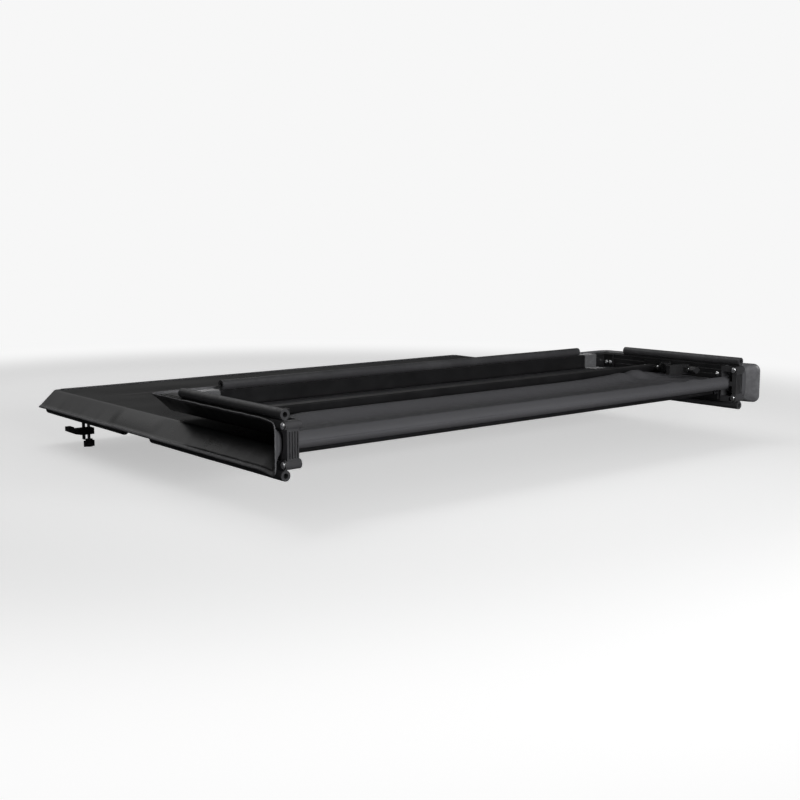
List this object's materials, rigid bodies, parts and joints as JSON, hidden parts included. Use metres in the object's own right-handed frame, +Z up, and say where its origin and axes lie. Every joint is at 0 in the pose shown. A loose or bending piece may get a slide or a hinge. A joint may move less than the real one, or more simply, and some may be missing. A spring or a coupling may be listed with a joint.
{
  "type": "truck bed tonneau cover",
  "caption": "Soft folding cover for a pickup bed: framed vinyl panels on double-pivot links, bulb seals and screw clamps.",
  "frame": {"origin": "centre of the width on the bed-rail plane, under the centre line of the bulkhead seal", "axes": "+Z up, +Y forward to the cab, +X to the right side of the truck"},
  "size_m": [1.56, 1.17, 0.223],
  "materials": {
    "frame": "satin black powder coat",
    "vinyl": "fine pebble grain, low sheen",
    "seal": "matte",
    "hinge": "satin black",
    "zinc": "bright zinc plate",
    "clamp": "satin black",
    "knob": "fine texture",
    "webbing": "woven"
  },
  "bodies": {
    "front_panel": {"front_rail_right": "frame", "front_rail_left": "frame", "lead_rail": "frame", "front_mid_bow": "frame", "front_hinge_bow": "frame", "front_vinyl": "vinyl", "bulkhead_seal": "seal", "front_seal_right": "seal", "front_seal_left": "seal", "front_hinge_forks": "hinge", "front_screws": "zinc", "front_clamp_brackets": "clamp", "strap_buckles": "knob", "stow_straps": "webbing"},
    "front_links": {"front_link_right": "hinge", "front_link_left": "hinge", "front_link_vinyl": "vinyl", "front_link_pins": "zinc"},
    "middle_panel": {"middle_rail_right": "frame", "middle_rail_left": "frame", "middle_front_bow": "frame", "middle_mid_bow": "frame", "middle_hinge_bow": "frame", "middle_vinyl": "vinyl", "middle_seal_right": "seal", "middle_seal_left": "seal", "middle_hinge_forks": "hinge", "middle_screws": "zinc"},
    "rear_links": {"rear_link_right": "hinge", "rear_link_left": "hinge", "rear_link_vinyl": "vinyl", "rear_link_pins": "zinc"},
    "rear_panel": {"rear_rail_right": "frame", "rear_rail_left": "frame", "rear_mid_bow": "frame", "tail_rail": "frame", "rear_vinyl": "vinyl", "rear_seal_right": "seal", "rear_seal_left": "seal", "tail_seal": "seal", "rear_hinge_forks": "hinge", "rear_screws": "zinc", "tail_straps": "webbing", "rear_clamp_pivots": "clamp"},
    "front_screw_right": {"front_clamp_screw_right": "zinc", "front_clamp_knob_right": "knob"},
    "front_jaw_right": {"front_clamp_jaw_right": "clamp"},
    "front_screw_left": {"front_clamp_screw_left": "zinc", "front_clamp_knob_left": "knob"},
    "front_jaw_left": {"front_clamp_jaw_left": "clamp"},
    "rear_arm_right": {"rear_clamp_arm_right": "clamp"},
    "rear_screw_right": {"rear_clamp_screw_right": "zinc", "rear_clamp_knob_right": "knob"},
    "rear_jaw_right": {"rear_clamp_jaw_right": "clamp"},
    "rear_arm_left": {"rear_clamp_arm_left": "clamp"},
    "rear_screw_left": {"rear_clamp_screw_left": "zinc", "rear_clamp_knob_left": "knob"},
    "rear_jaw_left": {"rear_clamp_jaw_left": "clamp"}
  },
  "joints": [
    {"name": "front_link_hinge", "type": "hinge", "parent": "front_panel", "child": "front_links", "pos_m": [0, -0.437, 0.0325], "axis": [-1, 0, 0], "range_deg": [0, 90]},
    {"name": "middle_panel_hinge", "type": "hinge", "parent": "front_links", "child": "middle_panel", "pos_m": [0, -0.583, 0.0325], "axis": [-1, 0, 0], "range_deg": [0, 90]},
    {"name": "rear_link_hinge", "type": "hinge", "parent": "middle_panel", "child": "rear_links", "pos_m": [0, -1.131, 0.0325], "axis": [-1, 0, 0], "range_deg": [-90, 0]},
    {"name": "rear_panel_hinge", "type": "hinge", "parent": "rear_links", "child": "rear_panel", "pos_m": [0, -1.131, 0.1105], "axis": [-1, 0, 0], "range_deg": [-90, 0]},
    {"name": "front_knob_turn_right", "type": "hinge", "parent": "front_panel", "child": "front_screw_right", "pos_m": [0.697, -0.112, 0.04], "axis": [0, 0, 1], "range_deg": [0, 2880]},
    {"name": "front_jaw_slide_right", "type": "slide", "parent": "front_panel", "child": "front_jaw_right", "axis": [0, 0, -1], "range_m": [0, 0.01]},
    {"name": "front_knob_turn_left", "type": "hinge", "parent": "front_panel", "child": "front_screw_left", "pos_m": [-0.697, -0.112, 0.04], "axis": [0, 0, 1], "range_deg": [0, 2880]},
    {"name": "front_jaw_slide_left", "type": "slide", "parent": "front_panel", "child": "front_jaw_left", "axis": [0, 0, -1], "range_m": [0, 0.01]},
    {"name": "rear_clamp_swing_right", "type": "hinge", "parent": "rear_panel", "child": "rear_arm_right", "pos_m": [0.697, -0.905, 0.103], "axis": [0, -0.7071, 0.7071], "range_deg": [-180, 0]},
    {"name": "rear_knob_turn_right", "type": "hinge", "parent": "rear_arm_right", "child": "rear_screw_right", "pos_m": [0.697, -0.905, 0.103], "axis": [0, 1, 0], "range_deg": [0, 2880]},
    {"name": "rear_jaw_slide_right", "type": "slide", "parent": "rear_arm_right", "child": "rear_jaw_right", "axis": [0, -1, 0], "range_m": [0, 0.01]},
    {"name": "rear_clamp_swing_left", "type": "hinge", "parent": "rear_panel", "child": "rear_arm_left", "pos_m": [-0.697, -0.905, 0.103], "axis": [0, 0.7071, -0.7071], "range_deg": [-180, 0]},
    {"name": "rear_knob_turn_left", "type": "hinge", "parent": "rear_arm_left", "child": "rear_screw_left", "pos_m": [-0.697, -0.905, 0.103], "axis": [0, 1, 0], "range_deg": [0, 2880]},
    {"name": "rear_jaw_slide_left", "type": "slide", "parent": "rear_arm_left", "child": "rear_jaw_left", "axis": [0, -1, 0], "range_m": [0, 0.01]}
  ],
  "couplings": [
    {"joint": "middle_panel_hinge", "follows": "front_link_hinge", "ratio": 1},
    {"joint": "rear_panel_hinge", "follows": "rear_link_hinge", "ratio": 1},
    {"joint": "front_knob_turn_right", "follows": "front_jaw_slide_right", "rad_per_m": 5026.5},
    {"joint": "front_knob_turn_left", "follows": "front_jaw_slide_left", "rad_per_m": 5026.5},
    {"joint": "rear_knob_turn_right", "follows": "rear_jaw_slide_right", "rad_per_m": 5026.5},
    {"joint": "rear_knob_turn_left", "follows": "rear_jaw_slide_left", "rad_per_m": 5026.5}
  ]
}
